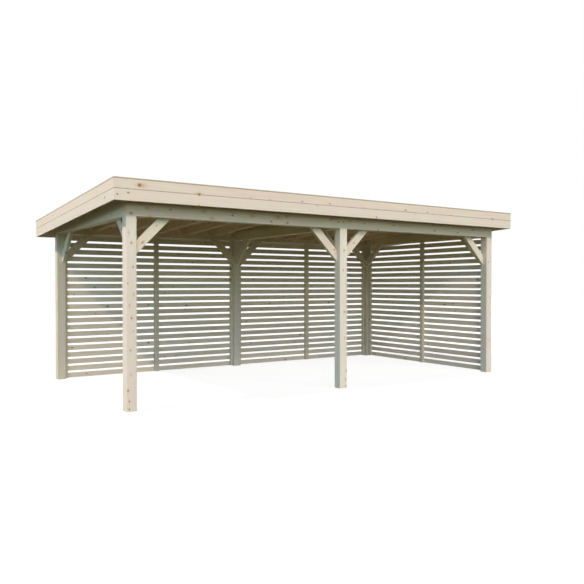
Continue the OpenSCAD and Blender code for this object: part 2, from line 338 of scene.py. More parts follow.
@cache
def ring_group() -> bpy.types.NodeTree:
    """Builds the group for the growth rings and fibres that a planed spruce face shows.

    A ring is where the distance from the pith, over the ring's width, passes a whole number. The pith lies
    beside the board at a place drawn for it and wanders along its length, slowly over a span of 75 mm and
    faster over 2.5 mm. That gives the long arches of a flat sawn face and plain stripes on a quarter sawn
    one. The late wood rises from a third of the way through a ring and ends sharply. Fibres, streaks and the
    drift in tone are noise stretched along the board, from fine to broad.

    Returns:
        The node group, which gives the late wood, the fibres, the slow drift in tone and the height.
    """
    inputs = {"Board": ZERO, "Draw": ZERO, "Push": 0.0, "Width": 3.2 * MM}
    outputs = dict.fromkeys(("Late", "Fibre", "Drift", "Height"), 0.0)
    graph, given, out = open_group("spruce rings", inputs, outputs)
    slow = graph.vector("MULTIPLY", given["Board"], (1.0, 3.0, 3.0))
    wander = graph.times(graph.math("SUBTRACT", graph.noise(slow, 0.9, 1.0), 0.5), 75.0 * MM)
    fine_wander = graph.times(graph.math("SUBTRACT", graph.noise(slow, 6.0, 2.0), 0.5), 2.5 * MM)
    pith = graph.vector("MULTIPLY_ADD", given["Draw"], (0.0, 0.16, 0.08), (0.0, -0.08, 0.02))
    shift = graph.vector("MULTIPLY", given["Draw"], (0.0, 3.1, 0.0))
    home = graph.vector("SUBTRACT", graph.vector("SUBTRACT", given["Board"], shift), pith)
    radial = graph.vector("LENGTH", graph.vector("MULTIPLY", home, (0.0, 1.0, 1.0)))
    pushed = graph.math("ADD", fine_wander, given["Push"])
    distance = graph.math("ADD", graph.math("ADD", radial, wander), pushed)
    phase = graph.math("FRACT", graph.math("DIVIDE", distance, given["Width"]))
    sharp_end = graph.rest(graph.fade(phase, 0.93, 1.0))
    late = graph.times(graph.fade(phase, 0.35, 0.9), sharp_end)
    fibre = graph.noise(graph.vector("MULTIPLY", given["Board"], (0.018, 1.0, 1.0)), 700.0, 3.0, 0.6)
    streak = graph.noise(graph.vector("MULTIPLY", given["Board"], (0.03, 1.0, 1.0)), 60.0, 2.0)
    drift = graph.noise(graph.vector("MULTIPLY", given["Board"], (0.25, 1.0, 1.0)), 7.0, 2.0)
    graph.put(out["Late"], late)
    graph.put(out["Fibre"], graph.line(streak, 0.6, graph.times(fibre, 0.4)))
    graph.put(out["Drift"], drift)
    graph.put(out["Height"], graph.line(late, 0.5, graph.times(fibre, 0.35)))
    return graph.tree


def linear(red: int, green: int, blue: int) -> Colour:
    """Turns an 8-bit display colour into linear light.

    Args:
        red: red from 0 to 255.
        green: green from 0 to 255.
        blue: blue from 0 to 255.

    Returns:
        The colour as three shares of full light.
    """
    shares = np.array((red, green, blue)) / 255.0
    low, high = shares / 12.92, ((shares + 0.055) / 1.055) ** 2.4
    return tuple(float(v) for v in np.where(shares <= 0.04045, low, high))


def plain_material(name: str) -> tuple[bpy.types.Material, Graph, bpy.types.Node, Any]:
    """Makes a material that holds only a Principled BSDF and the object coordinates.

    Args:
        name: the material's name.

    Returns:
        The material, its graph, the shader node and the coordinates.
    """
    made = bpy.data.materials.new(name)
    made.use_nodes = True
    graph = Graph(made.node_tree)
    return made, graph, made.node_tree.nodes["Principled BSDF"], graph.node("TexCoord").outputs["Object"]


def wear(piece: bpy.types.Object, material: bpy.types.Material) -> None:
    """Gives every material slot of a piece that material, adding a slot where it has none.

    Args:
        piece: the object to dress.
        material: the material that it gets.
    """
    if not piece.data.materials:
        piece.data.materials.append(material)
    for index in range(len(piece.data.materials)):
        piece.data.materials[index] = material


class KnotKind(Enum):
    """How a chosen knot looks."""

    SOUND = "sound"
    FAINT = "faint"


@dataclass(frozen=True)
class Knot:
    """A knot at a chosen place of a face, in shares of the node's width and height seen square to it."""

    side_share: float
    z_share: float
    radius: float
    kind: KnotKind = KnotKind.SOUND


@dataclass(frozen=True)
class Lay:
    """How the boards of one piece lie, so that their grain follows them.

    The fold mirrors the boards about the centre, and the split and the pitch part them. Depth is 1 for a
    post, whose knots show on two faces, and 0 for a board. The box and the knots are the node's corners and
    its chosen knots. The joints are the heights of a fascia's board joints, which come down by the fall.
    """

    run: Run
    seed: float
    centre: Triple = ZERO
    fold: Triple = ZERO
    split: Triple = ZERO
    pitch: float = 1.0
    depth: float = 0.0
    box: tuple[Triple, Triple] = (ZERO, (1.0, 1.0, 1.0))
    knots: tuple[Knot, ...] = ()
    joints: tuple[float, ...] = ()
    fall: float = 0.0


@dataclass(frozen=True)
class Spruce:
    """Planed, untreated spruce: pale wood with soft blotches, rings, long fibres and small brown knots.

    The mixes say how strongly knots, rims, halos and the painted shade at the fascia joints show, and
    knot_polish how much smoother a knot is than the wood. Where a node has chosen knots, strewn_beside_chosen
    is the share of the others that stay.
    """

    tone: Colour = linear(218, 206, 188)
    straw: Colour = (1.00, 1.035, 1.00)
    blush: Colour = (1.00, 0.955, 0.965)
    late: Colour = linear(208, 180, 146)
    knot: Colour = linear(150, 108, 68)
    rim: Colour = linear(84, 58, 38)
    stain: Colour = linear(204, 158, 112)
    # The joint colour is painted shade: a dark line where fascia boards meet, standing in for the shade in
    # the groove between them
    joint: Colour = linear(128, 108, 82)
    spread: float = 0.05
    mottle: float = 1.0
    rings: float = 0.30
    fibres: float = 0.12
    knots: float = 0.30
    knot_size: float = 8.0 * MM
    strewn_beside_chosen: float = 0.3
    knot_mix: float = 0.90
    rim_mix: float = 0.50
    halo_mix: float = 0.28
    faint_mix: float = 0.45
    faint_halo: float = 0.65
    knot_polish: float = 0.14
    ring_width: float = 3.2 * MM
    roughness: float = 0.62
    specular: float = 0.3
    relief: float = 0.2 * MM
    relief_strength: float = 0.5
    joint_shade_half: float = 3.0 * MM
    joint_shade_mix: float = 0.85

    def space(self, graph: Graph, place: Any, lay: Lay) -> Any:
        """Adds the board space group.

        Args:
            graph: the material's graph.
            place: the object coordinates.
            lay: how the boards lie.

        Returns:
            The group's outputs.
        """
        along, across, through = (tuple(Vector(axis).normalized()) for axis in lay.run.value)
        given = {
            "Position": place, "Along": along, "Across": across, "Through": through, "Centre": lay.centre,
            "Fold": lay.fold, "Split": lay.split, "Pitch": lay.pitch, "Seed": lay.seed,
        }
        return graph.node("Group", given, node_tree=board_space()).outputs

    def chosen(self, graph: Graph, place: Any, lay: Lay, kind: KnotKind, ratios: dict[str, Any]) -> Any:
        """Adds the chosen knots of a kind to the knots so far.

        A knot on the low side of a folded pair has its grain mirrored, as that brace has.

        Args:
            graph: the material's graph.
            place: the object coordinates.
            lay: how the boards lie, with the chosen knots.
            kind: the kind to add.
            ratios: what the knots so far give: Round, Long and Wobble.

        Returns:
            The outputs of the knot look group.
        """
        low, high = (Vector(corner) for corner in lay.box)
        face = (0.0, 1.0, 1.0) if lay.run in (Run.ALONG_Y, Run.BRACE_Y) else (1.0, 0.0, 1.0)
        size, aside = high - low, Vector(lay.fold)
        for knot in (knot for knot in lay.knots if knot.kind is kind):
            spot = low + Vector((knot.side_share * size.x, knot.side_share * size.y, knot.z_share * size.z))
            along = Vector(lay.run.value[0]).normalized()
            if knot.side_share < 0.5:
                along -= 2.0 * along.dot(aside) * aside
            given = {
                "Position": place, "Place": tuple(spot), "Face": face, "Radius": knot.radius,
                "Along": tuple(along), **ratios,
            }
            added = graph.node("Group", given, node_tree=set_knot()).outputs
            ratios = {**ratios, "Round": added["Round"], "Long": added["Long"]}
        given = {"Round": ratios["Round"], "Long": ratios["Long"], "Size": self.knot_size}
        return graph.node("Group", given, node_tree=knot_look()).outputs

    def joint_shade_mask(self, graph: Graph, place: Any, lay: Lay) -> Any:
        """Finds the lines where two fascia boards meet, along the roof's falling planes.

        Args:
            graph: the material's graph.
            place: the object coordinates.
            lay: how the boards lie, with the heights of the joints.

        Returns:
            1 on a line, where the dark line of painted shade goes, and 0 off it.
        """
        parts = graph.node("SeparateXYZ", {0: place}).outputs
        height = graph.line(parts[1], lay.fall, parts[2])
        gaps = [graph.math("ABSOLUTE", graph.math("SUBTRACT", height, joint)) for joint in lay.joints]
        nearest = gaps[0]
        for gap in gaps[1:]:
            nearest = graph.math("MINIMUM", nearest, gap)
        return graph.rest(graph.fade(nearest, self.joint_shade_half * 0.5, self.joint_shade_half * 1.5))

    def wood(self, graph: Graph, space: Any, rings: Any) -> Any:
        """Colours the clear wood between the knots.

        The tone leans from straw to blush by the slow drift and by the board's own draw. The late wood of the
        rings is laid over it, and the board's draw and the fibres set how light it is.

        Args:
            graph: the material's graph.
            space: the outputs of the board space group.
            rings: the outputs of the rings group.

        Returns:
            The colour.
        """
        draws = graph.node("SeparateXYZ", {0: space["Draw"]}).outputs
        tint = graph.line(rings["Drift"], 1.6 * self.mottle, -0.3 * self.mottle)
        tint = graph.math("ADD", tint, graph.line(draws[1], 0.6, -0.3))
        hue = graph.blend(graph.math("ADD", tint, 0.0, clamp=True), self.straw, self.blush)
        base = graph.vector("MULTIPLY", hue, self.tone)
        base = graph.blend(graph.times(rings["Late"], self.rings), base, self.late)
        level = graph.line(draws[0], 2.0 * self.spread, 1.0 - self.spread)
        fibre = graph.line(rings["Fibre"], 2.0 * self.fibres, 1.0 - self.fibres)
        return graph.vector("SCALE", base, scale=graph.times(level, fibre))

    def material(self, name: str, lay: Lay) -> bpy.types.Material:
        """Builds the finish for a piece.

        Args:
            name: the piece's name.
            lay: how its boards lie.

        Returns:
            The material.
        """
        made, graph, shader, place = plain_material("spruce " + name)
        space = self.space(graph, place, lay)
        share = self.knots * (self.strewn_beside_chosen if lay.knots else 1.0)
        given = {"Board": space["Board"], "Share": share, "Size": self.knot_size, "Depth": lay.depth}
        strewn = graph.node("Group", given, node_tree=strewn_knots()).outputs
        ratios = {key: strewn[key] for key in ("Round", "Long", "Wobble")}
        knots = self.chosen(graph, place, lay, KnotKind.SOUND, ratios)
        faint = self.chosen(graph, place, lay, KnotKind.FAINT, {**ratios, "Round": FAR_OFF, "Long": FAR_OFF})
        push = graph.math("MAXIMUM", knots["Push"], faint["Push"])
        given = {"Board": space["Board"], "Draw": space["Draw"], "Push": push, "Width": self.ring_width}
        rings = graph.node("Group", given, node_tree=ring_group()).outputs
        base = self.wood(graph, space, rings)
        layers = [
            (faint["Halo"], self.faint_mix * self.faint_halo, self.stain),
            (faint["Knot"], self.faint_mix, self.stain),
            (knots["Halo"], self.halo_mix, self.stain),
            (knots["Knot"], self.knot_mix, self.knot),
            (knots["Rim"], self.rim_mix, self.rim),
        ]
        # Painted shade: a dark line at the fascia joints, for the shade in the groove between the boards
        if lay.joints:
            layers.append((self.joint_shade_mask(graph, place, lay), self.joint_shade_mix, self.joint))
        for mask, mix, colour in layers:
            base = graph.blend(graph.times(mask, mix), base, colour)
        graph.put(shader.inputs["Base Color"], base)
        gloss = graph.line(knots["Knot"], -self.knot_polish, self.roughness)
        graph.put(shader.inputs["Roughness"], gloss)
        shader.inputs["Specular IOR Level"].default_value = self.specular
        relief = {"Height": rings["Height"], "Distance": self.relief, "Strength": self.relief_strength}
        graph.put(shader.inputs["Normal"], graph.node("Bump", relief).outputs[0])
        return made


@dataclass(frozen=True)
class MineralFelt:
    """Roofing felt strewn with fine slate granules, which weather makes lighter and darker."""

    tone: Colour = linear(72, 76, 80)
    grit: Colour = linear(118, 122, 126)
    grain: float = 1.6 * MM
    weather: float = 0.5
    roughness: float = 0.93
    relief: float = 0.6 * MM
    relief_strength: float = 0.7

    def material(self, name: str) -> bpy.types.Material:
        """Builds the finish: cells of grit over a dark bitumen sheet, with broad weather marks.

        Args:
            name: the piece's name.

        Returns:
            The material.
        """
        made, graph, shader, place = plain_material("felt " + name)
        cells = graph.node("TexVoronoi", {"Vector": place, "Scale": 1.0 / self.grain})
        draws = graph.node("SeparateColor", {0: cells.outputs["Color"]}).outputs
        marks = graph.noise(place, 1.7, 4.0, 0.6)
        share = graph.times(graph.math("POWER", draws[0], 1.6), 0.9)
        base = graph.blend(share, self.tone, self.grit)
        level = graph.line(marks, self.weather, 1.0 - self.weather / 2.0)
        graph.put(shader.inputs["Base Color"], graph.vector("SCALE", base, scale=level))
        shader.inputs["Roughness"].default_value = self.roughness
        dome = graph.rest(cells.outputs["Distance"])
        relief = {"Height": dome, "Distance": self.relief, "Strength": self.relief_strength}
        graph.put(shader.inputs["Normal"], graph.node("Bump", relief).outputs[0])
        return made


@dataclass(frozen=True)
class ZincPlate:
    """Zinc plated steel of screw heads, duller and rougher where it is stained."""

    tone: Colour = (0.56, 0.55, 0.52)
    dull: Colour = (0.36, 0.35, 0.33)
    roughness: float = 0.3
    stained: float = 0.3

    def material(self, name: str) -> bpy.types.Material:
        """Builds the finish: bright metal with slight stains.

        Args:
            name: the piece's name.

        Returns:
            The material.
        """
        made, graph, shader, place = plain_material("zinc " + name)
        stain = graph.noise(place, 240.0, 2.0)
        graph.put(shader.inputs["Base Color"], graph.blend(stain, self.tone, self.dull))
        gloss = graph.line(stain, self.stained, self.roughness)
        graph.put(shader.inputs["Roughness"], gloss)
        shader.inputs["Metallic"].default_value = 1.0
        return made


# ---------------------------------------------------------------- the stage


@dataclass(frozen=True)
class Lamp:
    """A sun lamp.

    Its turn is counted in degrees from the front towards the left, its lift over the horizon, and its spread
    is the angle that it fills. Its level is what a surface square to it gives back, as a share of its colour.
    """

    name: str
    turn: float
    lift: float
    spread: float
    level: Colour

    def light(self) -> None:
        """Hangs the lamp in the scene."""
        data = bpy.data.lights.new(self.name, "SUN")
        top = max(self.level)
        data.energy, data.angle = top * math.pi, math.radians(self.spread)
        data.color = [share / top for share in self.level]
        made = bpy.data.objects.new(self.name, data)
        side, up = math.radians(self.turn), math.radians(self.lift)
        towards = Vector((-math.sin(side) * math.cos(up), -math.cos(side) * math.cos(up), math.sin(up)))
        made.rotation_mode = "QUATERNION"
        made.rotation_quaternion = towards.to_track_quat("Z", "Y")
        bpy.context.scene.collection.objects.link(made)


@dataclass
class Stage:
    """The floor, the lamps and the camera."""

    eye: Triple = (-5.2041, -8.1215, 1.3375)
    turn: float = 0.5876
    dip: float = 0.01157
    lens: float = 40.19
    sensor: float = 36.0
    floor_size: float = 120.0
    floor_lit: float = 0.20
    floor_glow: float = 0.86
    sky: Colour = (0.985, 1.300, 1.045)
    sky_top: float = 0.208
    sky_fade: float = 0.05
    bounce: Colour = (0.058, 0.056, 0.010)
    lamps: tuple[Lamp, ...] = (
        Lamp("left_sun", 90.0, 50.5, 1.5, (0.940, 0.824, 0.728)),
        Lamp("low_sun", 30.0, 32.8, 1.5, (0.200, 0.140, 0.080)),
        Lamp("left_low", 90.0, 17.5, 24.0, (0.037, 0.090, 0.155)),
        Lamp("left_front", 40.0, 25.0, 30.0, (0.050, 0.100, 0.160)),
        Lamp("broad_front", 10.0, 33.0, 60.0, (0.430, 0.425, 0.515)),
        Lamp("right_front", -20.0, 34.0, 10.0, (0.255, 0.236, 0.170)),
        Lamp("broad_back", 215.0, 24.0, 50.0, (0.420, 0.330, 0.380)),
    )

    def camera(self) -> None:
        """Puts the camera at the left front corner, looking along the pavilion."""
        data = bpy.data.cameras.new("camera")
        data.lens, data.sensor_width = self.lens, self.sensor
        data.clip_end = 500.0
        made = bpy.data.objects.new("camera", data)
        ahead = Vector((
            math.sin(self.turn) * math.cos(self.dip),
            math.cos(self.turn) * math.cos(self.dip),
            -math.sin(self.dip),
        ))
        made.location = self.eye
        made.rotation_mode = "QUATERNION"
        made.rotation_quaternion = ahead.to_track_quat("-Z", "Y")
        bpy.context.scene.collection.objects.link(made)
        bpy.context.scene.camera = made

    def sky_dome(self) -> None:
        """Lights the object from a pale band low in the sky, and shows the camera plain white all round."""
        world = bpy.data.worlds.new("sky")
        world.use_nodes = True
        bpy.context.scene.world = world
        graph = Graph(world.node_tree)
        lit = world.node_tree.nodes["Background"]
        graph.put(lit.inputs["Color"], self.sky)
        lift = graph.node("SeparateXYZ", {0: graph.node("TexCoord").outputs["Generated"]}).outputs["Z"]
        below = graph.math("DIVIDE", graph.math("SUBTRACT", self.sky_top, lift), self.sky_fade)
        graph.put(lit.inputs["Strength"], graph.math("ADD", below, 0.5, clamp=True))
        white = graph.node("Background", {"Color": (1.0, 1.0, 1.0), "Strength": 1.0})
        seen = graph.node("MixShader", {0: self.seen(graph), 1: lit.outputs[0], 2: white.outputs[0]})
        graph.put(world.node_tree.nodes["World Output"].inputs["Surface"], seen.outputs[0])

    def seen(self, graph: Graph) -> Any:
        """Finds the rays that show a surface to the camera.

        Args:
            graph: the graph to work in.

        Returns:
            1 for a ray straight from the camera, in gloss or through glass, and 0 for one that only lights.
        """
        path = graph.node("LightPath").outputs
        mirrored = graph.math("MAXIMUM", path["Is Glossy Ray"], path["Is Transmission Ray"])
        return graph.math("MAXIMUM", path["Is Camera Ray"], mirrored)

    def floor(self) -> None:
        """Lays a level floor that looks white, keeps a soft shadow and throws back warm light."""
        half = self.floor_size / 2.0
        corners = [(-half, -half, 0.0), (half, -half, 0.0), (half, half, 0.0), (-half, half, 0.0)]
        mesh = bpy.data.meshes.new("floor")
        mesh.from_pydata(corners, [], [(0, 1, 2, 3)])
        made = bpy.data.objects.new("floor", mesh)
        bpy.context.scene.collection.objects.link(made)
        material = bpy.data.materials.new("floor")
        material.use_nodes = True
        graph = Graph(material.node_tree)
        graph.tree.nodes.remove(graph.tree.nodes["Principled BSDF"])
        bounce = graph.node("Emission", {"Color": self.bounce, "Strength": 1.0})
        lit = graph.node("BsdfDiffuse", {"Color": (self.floor_lit,) * 3})
        glow = graph.node("Emission", {"Color": (1.0, 1.0, 1.0), "Strength": self.floor_glow})
        white = graph.node("AddShader", {0: lit.outputs[0], 1: glow.outputs[0]})
        shown = graph.node("MixShader", {0: self.seen(graph), 1: bounce.outputs[0], 2: white.outputs[0]})
        graph.put(graph.tree.nodes["Material Output"].inputs["Surface"], shown.outputs[0])
        mesh.materials.append(material)

    def build(self) -> None:
        """Sets the whole stage."""
        self.camera()
        self.sky_dome()
        self.floor()
        for lamp in self.lamps:
            lamp.light()


# ---------------------------------------------------------------- the timber


def node_points(node: str) -> np.ndarray:
    """Reads the points of a node's mesh.

    Args:
        node: the node's name.

    Returns:
        One row a point.
    """
    mesh = bpy.data.objects[node].data
    points = np.empty(len(mesh.vertices) * 3)
    mesh.vertices.foreach_get("co", points)
    return points.reshape(-1, 3)


def board_spans(node: str, axis: int) -> np.ndarray:
    """Finds where the separate boards of a node lie along an axis.

    Each triangle covers a stretch of the axis. The stretches are sorted by their lower ends, and a new board
    starts where a stretch begins beyond the furthest end so far.

    Args:
        node: the node's name.
        axis: 0, 1 or 2 for x, y or z.

    Returns:
        One row a board: its lowest and highest value.
    """
    loops = bpy.data.objects[node].data.loops
    corners = np.empty(len(loops), dtype=np.int64)
    loops.foreach_get("vertex_index", corners)
    values = node_points(node)[corners, axis].reshape(-1, 3)
    low, high = values.min(axis=1), values.max(axis=1)
    order = np.argsort(low, kind="stable")
    low, reach = low[order], np.maximum.accumulate(high[order])
    starts = np.flatnonzero(np.concatenate(([True], low[1:] > reach[:-1] + 0.1 * MM)))
    ends = np.concatenate((starts[1:], [len(low)])) - 1
    return np.stack((low[starts], reach[ends]), axis=1)


def even_cells(spans: np.ndarray) -> tuple[float, float]:
    """Cuts an axis into equal cells that hold one board each.

    Args:
        spans: the boards' lowest and highest values, in order.

    Returns:
        The start of the first board's cell, and the cells' length.
    """
    pitch = float(np.diff(spans[:, 0]).mean())
    width = float(spans[0, 1] - spans[0, 0])
    return float(spans[0, 0]) - (pitch - width) / 2.0, pitch


def groove_cells(node: str) -> tuple[float, float]:
    """Finds the boards of a deck that is one solid, from its grooves.

    The y values of its points come in order as the front edge, three for each groove and the back edge.

    Args:
        node: the deck's name.

    Returns:
        The bottom of its first groove, and the distance to the next.
    """
    places = np.unique(node_points(node)[:, 1].round(5))
    first, second = places[2], places[5]
    return float(first), float(second - first)


def roof_fall() -> float:
    """Works out the roof's fall from the tops of its front and back fascias.

    Returns:
        How much the roof falls for each metre towards the back.
    """
    front_low, front_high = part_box("front_upper_fascia")
    back_low, back_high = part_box("back_upper_fascia")
    return float((front_high.z - back_high.z) / (back_low.y - front_low.y))


def fascia_joints() -> tuple[float, float]:
    """Finds the heights of the line between the two fascia boards and of the line under the cap.

    Returns:
        Both heights, carried along the fall to y = 0.
    """
    low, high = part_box("front_upper_fascia")
    carried = roof_fall() * low.y
    return float(low.z + carried), float(high.z + carried)


# Knots on the fronts of the posts: the shares of the post's height, and the radii in millimetres
POST_KNOTS = (0.8635, 0.740, 0.656, 0.479, 0.412, 0.315, 0.110, 0.0545, 0.0137)
POST_KNOT_RADII = (9.5, 8.0, 6.0, 9.0, 5.0, 7.0, 10.0, 8.0, 8.0)


def sound(*rows: Triple) -> tuple[Knot, ...]:
    """Returns knots from rows of side share, height share and radius in millimetres."""
    return tuple(Knot(side, height, radius * MM) for side, height, radius in rows)


def faint(*rows: Triple) -> tuple[Knot, ...]:
    """Returns faint knots from such rows."""
    return tuple(replace(knot, kind=KnotKind.FAINT) for knot in sound(*rows))


def post_knots(*sides: float) -> tuple[Knot, ...]:
    """Returns the posts' knots with the given shares of the post's width, one for each height."""
    return sound(*zip(sides, POST_KNOTS, POST_KNOT_RADII))


# Knots at set places of a node. Those of the three screens' slats were found by a search program, and the
# others come from places given one by one.
CHOSEN_KNOTS: dict[str, tuple[Knot, ...]] = {
    "front_left_braces": sound((0.034, 0.352, 8.5), (0.0925, 0.807, 6.0)) + faint((0.034, 0.352, 13.0)),
    "back_left_slats": sound(
        (0.7008, 0.4926, 13.0), (0.2321, 0.4965, 13.0), (0.4666, 0.2184, 12.0), (0.1168, 0.0187, 7.0),
        (0.1663, 0.4477, 7.0), (0.7195, 0.2017, 8.0), (0.7397, 0.8294, 9.0), (0.1133, 0.7066, 12.0),
        (0.5628, 0.1045, 8.0), (0.1614, 0.6351, 10.0), (0.9585, 0.6972, 9.0), (0.4671, 0.5054, 9.0),
        (0.0497, 0.5858, 7.0), (0.5637, 0.5957, 7.0), (0.6944, 0.4615, 6.0),
    ),
    "back_right_slats": sound(
        (0.3516, 0.0108, 13.0), (0.4691, 0.2194, 12.0), (0.6982, 0.4946, 12.0), (0.2303, 0.4956, 10.0),
        (0.7153, 0.1967, 9.0), (0.4216, 0.1529, 8.0), (0.1129, 0.7066, 8.0), (0.8964, 0.9423, 8.0),
        (0.171, 0.4467, 7.0), (0.6232, 0.1036, 6.0),
    ),
    "right_side_slats": sound(
        (0.3078, 0.4941, 13.0), (0.6573, 0.0094, 12.0), (0.5382, 0.2125, 11.0), (0.2907, 0.2022, 9.0),
        (0.2683, 0.8343, 8.0), (0.7737, 0.4961, 8.0), (0.8947, 0.7022, 8.0), (0.3814, 0.1026, 7.0),
        (0.2195, 0.4487, 6.0), (0.0533, 0.6953, 11.0),
    ),
    "front_left_post": post_knots(0.498, 0.652, 0.16, 0.506, 0.7, 0.413, 0.149, 0.286, 0.284) + faint(
        (0.26, 0.915, 8.0), (0.7, 0.6, 9.0), (0.33, 0.545, 9.0), (0.44, 0.19, 8.0),
    ),
    "front_middle_post": post_knots(0.576, 0.465, 0.85, 0.598, 0.585, 0.644, 0.919, 0.821, 0.836),
    "front_right_post": sound((0.33, 0.817, 8.0)) + faint((0.62, 0.56, 8.0), (0.4, 0.24, 8.0)),
    "front_upper_fascia": sound(
        (0.044, 0.45, 17.0), (0.1538, 0.04, 12.0), (0.3729, 0.2, 8.5), (0.4397, 0.23, 8.5),
        (0.6459, 0.22, 9.5), (0.7124, 0.19, 8.0), (0.9317, 0.02, 11.5),
    ) + faint(
        (0.0485, 0.43, 20.0), (0.1505, 0.06, 15.0), (0.257, 0.12, 8.5), (0.2993, 0.115, 9.0),
        (0.7876, 0.065, 8.0),
    ),
    "front_lower_fascia": sound(
        (0.0063, 0.48, 7.5), (0.0246, 0.67, 8.5), (0.1533, 0.985, 11.0), (0.9317, 0.975, 10.0),
    ) + faint((0.4098, 0.88, 8.5), (0.6758, 0.855, 8.0)),
    "front_beam": sound(
        (0.0096, 0.129, 11.0), (0.2187, 0.365, 11.0), (0.3098, 0.156, 10.0), (0.35, 0.151, 11.0),
        (0.4854, 0.405, 8.5), (0.4997, 0.408, 8.5), (0.6026, 0.054, 8.5), (0.7865, 0.223, 11.0),
        (0.8686, 0.192, 10.0),
    ) + faint(
        (0.04, 0.45, 13.0), (0.046, 0.03, 10.0), (0.1549, 0.461, 14.0), (0.1736, 0.122, 14.5),
        (0.264, 0.4, 15.0), (0.3263, 0.425, 24.0), (0.348, 0.5, 18.0), (0.4659, 0.536, 17.0),
        (0.5191, 0.499, 13.0), (0.6505, 0.426, 12.0),
    ),
}

# The finish of the slats: soft rings and few, dark knots
SLAT_LOOK = Spruce(
    linear(221, 209, 192),
    rings=0.03,
    fibres=0.018,
    spread=0.10,
    knots=0.12,
    mottle=0.8,
    knot_size=7.5 * MM,
    knot=linear(88, 60, 40),
    rim=linear(56, 38, 26),
)

# The finish of the front posts and the middle one at the back: bright wood with small orange knots
POST_LOOK = Spruce(
    linear(228, 222, 211),
    blush=(1.00, 0.945, 0.935),
    mottle=1.3,
    knots=0.85,
    knot_size=5.2 * MM,
    knot=linear(178, 126, 86),
    rim=linear(136, 92, 60),
)

# The finish of each kind of board, by a word of its node's name; the first word that fits counts
FINISHES: dict[str, Spruce] = {
    "upper_fascia": Spruce(linear(226, 214, 201), rings=0.42, mottle=1.8, knots=0.12),
    "lower_fascia": Spruce(
        linear(228, 220, 206), rings=0.42, mottle=1.5, knots=0.10, knot=linear(122, 88, 62)
    ),
    "cap": Spruce(linear(180, 168, 148), rings=0.15, knots=0.0),
    # Painted shade: the back corner posts are darker than the other posts, for the shade they stand in at the
    # back
    "back_left_post": Spruce(linear(215, 208, 190), knots=0.15),
    "back_right_post": Spruce(linear(217, 207, 186), knots=0.15),
    "post": POST_LOOK,
    # Painted shade: the left beam is darker than the other beams, for the deeper shade under the left eaves
    "left_beam": Spruce(linear(220, 214, 196), knots=0.15),
    "beam": Spruce(linear(230, 218, 197), knots=0.15, faint_mix=0.52, stain=linear(200, 148, 102)),
    "brace": Spruce(linear(226, 216, 200), knots=0.25, knot=linear(166, 114, 72), rim=linear(122, 82, 52)),
    "taper": Spruce(linear(225, 212, 192), knots=0.25),
    "rafters": Spruce(linear(232, 216, 190), rings=0.16, knots=0.50, knot=linear(156, 106, 62)),
    "deck": Spruce(linear(232, 217, 188), rings=0.16, knots=0.22, spread=0.06),
    "battens": Spruce(linear(218, 207, 188), mottle=0.6, knots=0.20, spread=0.06),
    # Painted light: the right screen's slats are lighter than the other slats, for the light from the left
    # that reaches that wall
    "right_side_slats": replace(SLAT_LOOK, tone=linear(226, 212, 197)),
    "slats": SLAT_LOOK,
}


def finish_of(name: str) -> Spruce:
    """Returns the finish of the node with that name."""
    return next(finish for word, finish in FINISHES.items() if word in name)


def parted(laid: Lay, run: Run, axis: int, cells: tuple[float, float]) -> Lay:
    """Parts a lay into boards that lie side by side.

    Args:
        laid: the lay of the whole node.
        run: the way that each board lies.
        axis: 0, 1 or 2 for boards one after another along x, y or z.
        cells: the start of the first board's cell, and the cells' length.

    Returns:
        The lay of the boards.
    """
    start, pitch = cells
    unit = UNITS[axis]
    return replace(laid, run=run, centre=tuple(start * share for share in unit), split=unit, pitch=pitch)


@dataclass
class Timber:
    """The frame's own timber nodes and the finish that each of them gets."""

    nodes: dict[str, bpy.types.Object]

    def lay(self, name: str, seed: float) -> Lay:
        """Says how the boards of a node lie, from its name and its mesh.

        Args:
            name: the node's name.
            seed: its own random seed.

        Returns:
            The lay of its grain.
        """
        low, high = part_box(name)
        long_x = high.x - low.x > high.y - low.y
        sideways = "side" in name or "cross" in name
        axis = 1 if sideways else 0
        laid = Lay(
            Run.ALONG_X if long_x else Run.ALONG_Y,
            seed,
            centre=tuple((low + high) / 2.0),
            box=(tuple(low), tuple(high)),
            knots=CHOSEN_KNOTS.get(name, ()),
        )
        if "brace" in name:
            run, pitch = Run.BRACE_Y if sideways else Run.BRACE_X, high[axis] - low[axis]
            return replace(laid, run=run, fold=UNITS[axis], split=UNITS[axis], pitch=pitch)
        if name.endswith("post"):
            return replace(laid, run=Run.UPRIGHT, depth=1.0)
        if name.endswith("slats"):
            run = Run.ALONG_Y if sideways else Run.ALONG_X
            return parted(laid, run, 2, even_cells(board_spans(name, 2)))
        if name.endswith("battens"):
            return parted(laid, Run.UPRIGHT, axis, even_cells(board_spans(name, axis)))
        if name.endswith("rafters"):
            return parted(laid, Run.ALONG_Y, 0, even_cells(board_spans(name, 0)))
        if name == "roof_deck":
            return parted(laid, Run.ALONG_X_FLAT, 1, groove_cells(name))
        return replace(laid, joints=fascia_joints(), fall=roof_fall()) if name.endswith("fascia") else laid

    def dress(self) -> int:
        """Gives every timber node its finish.

        Returns:
            How many nodes were dressed.
        """
        names = [name for name in sorted(self.nodes) if name != "roof_felt"]
        for number, name in enumerate(names):
            lay = self.lay(name, 3.17 * number + 1.0)
            wear(self.nodes[name], finish_of(name).material(name, lay))
        return len(names)


# ---------------------------------------------------------------- added pieces


def new_piece(name: str, points: np.ndarray, faces: np.ndarray) -> bpy.types.Object:
    """Makes a mesh piece that rides on the pavilion.

    Args:
        name: the piece's name.
        points: one row a vertex, in metres in the frame.
        faces: one row a four-cornered face, wound so that it points outwards.

    Returns:
        The new object.
    """
    mesh = bpy.data.meshes.new(name)
    mesh.from_pydata(points.tolist(), [], faces.tolist())
    mesh.validate()
    made = bpy.data.objects.new(name, mesh)
    bpy.context.scene.collection.objects.link(made)
    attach(made, BODY)
    return made


